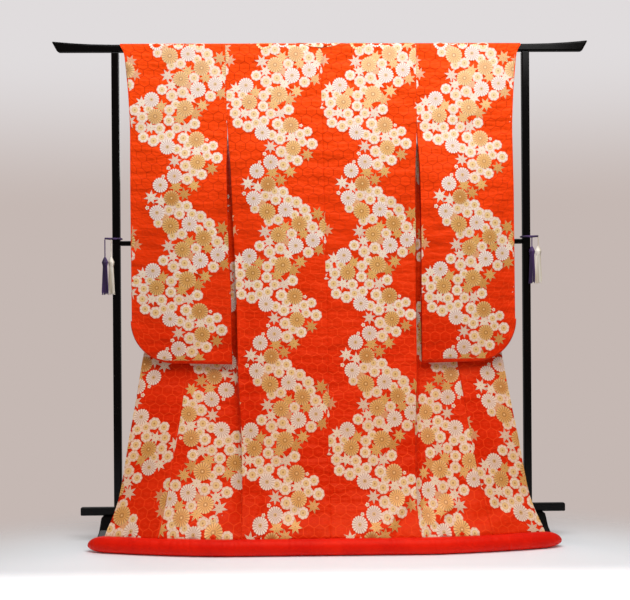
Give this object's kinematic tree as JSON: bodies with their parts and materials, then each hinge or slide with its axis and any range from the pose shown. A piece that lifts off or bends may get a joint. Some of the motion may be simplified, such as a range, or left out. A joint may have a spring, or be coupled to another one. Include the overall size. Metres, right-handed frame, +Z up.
{
  "type": "uchikake wedding kimono on a kimono stand",
  "caption": "Long-sleeved trailing wedding robe hung open over the bar of a lacquered stand, back to the viewer, padded hem on the floor.",
  "frame": {"origin": "on the floor, under the middle of the whole part's width and depth", "axes": "+Z up, +X to the right as the robe's back is seen, -Y towards that viewer, so the robe's back and its trailing hem face -Y and the bar runs along X"},
  "size_m": [1.7642, 0.4332, 1.6384],
  "materials": {
    "silk_brocade": "red damask silk woven with gold and white flowers",
    "hem_silk": "plain red silk, softly lustrous",
    "black_lacquer": "gloss black lacquer",
    "purple_cord": "dull silk cord",
    "cream_cord": "dull silk cord"
  },
  "bodies": {
    "root": {"back_left": "silk_brocade", "back_right": "silk_brocade", "bottom_rail": "black_lacquer", "collar": "silk_brocade", "foot_left": "black_lacquer", "foot_right": "black_lacquer", "front_left": "silk_brocade", "front_right": "silk_brocade", "hem_back_left": "hem_silk", "hem_back_right": "hem_silk", "hem_front_left": "hem_silk", "hem_front_right": "hem_silk", "hem_overlap_left": "hem_silk", "hem_overlap_right": "hem_silk", "middle_rail": "black_lacquer", "overlap_left": "silk_brocade", "overlap_right": "silk_brocade", "post_left": "black_lacquer", "post_right": "black_lacquer", "sleeve_far_left": "silk_brocade", "sleeve_far_right": "silk_brocade", "sleeve_near_left": "silk_brocade", "sleeve_near_right": "silk_brocade", "sleeve_pouch_left": "silk_brocade", "sleeve_pouch_right": "silk_brocade", "tassel_far_left": "cream_cord", "tassel_far_right": "purple_cord", "tassel_near_left": "purple_cord", "tassel_near_right": "cream_cord", "tie_left": "purple_cord", "tie_right": "purple_cord", "top_bar": "black_lacquer"}
  },
  "joints": []
}
